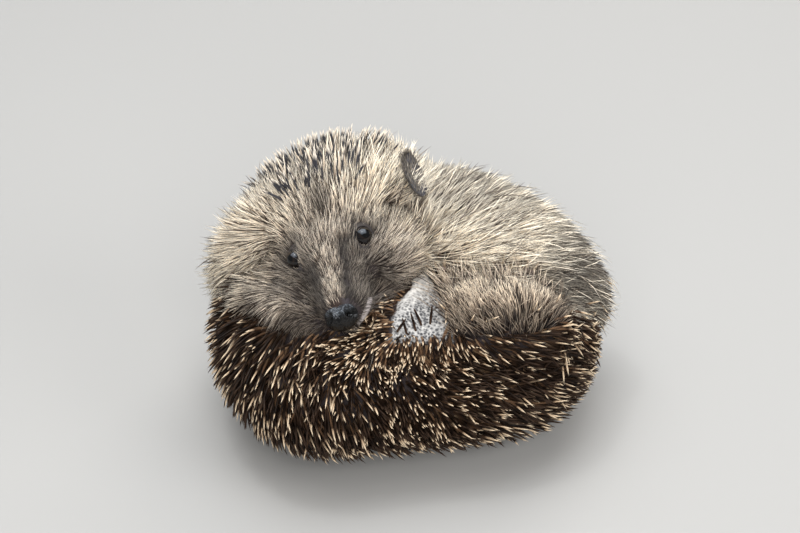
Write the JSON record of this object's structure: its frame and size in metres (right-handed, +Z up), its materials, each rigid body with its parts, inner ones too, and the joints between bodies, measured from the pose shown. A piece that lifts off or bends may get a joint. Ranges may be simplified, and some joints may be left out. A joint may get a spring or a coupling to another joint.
{
  "type": "hedgehog",
  "caption": "Young hedgehog half curled on its back: a spiny bowl of a body, two furry rolls of flank, and a raised face looking over its side.",
  "frame": {"origin": "on the floor, under the middle of the whole model's box", "axes": "+X from the head end to the rump, -Y the way the face looks, +Z up"},
  "size_m": [0.1362, 0.1078, 0.0915],
  "materials": {
    "spines": "smooth keratin spines, cream at the root and tip, dark brown between",
    "fur": "long coarse hair, cream and grey-brown",
    "face_fur": "short fine hair, grey-brown, darker round the eyes and snout",
    "bare_skin": "bare dark skin, moist and wrinkled on the nose",
    "eye": "wet black, polished"
  },
  "bodies": {
    "root": {"head": "face_fur", "snout": "face_fur", "nose": "bare_skin", "eye_left": "eye", "eye_right": "eye", "ear_left": "bare_skin", "ear_right": "bare_skin", "neck": "fur", "flank_left": "fur", "flank_right": "fur", "shoulders": "spines", "trunk": "spines", "rump": "spines", "leg_front_left": "face_fur", "leg_front_right": "face_fur", "leg_hind_left": "face_fur", "leg_hind_right": "face_fur", "tail": "bare_skin"}
  },
  "joints": []
}
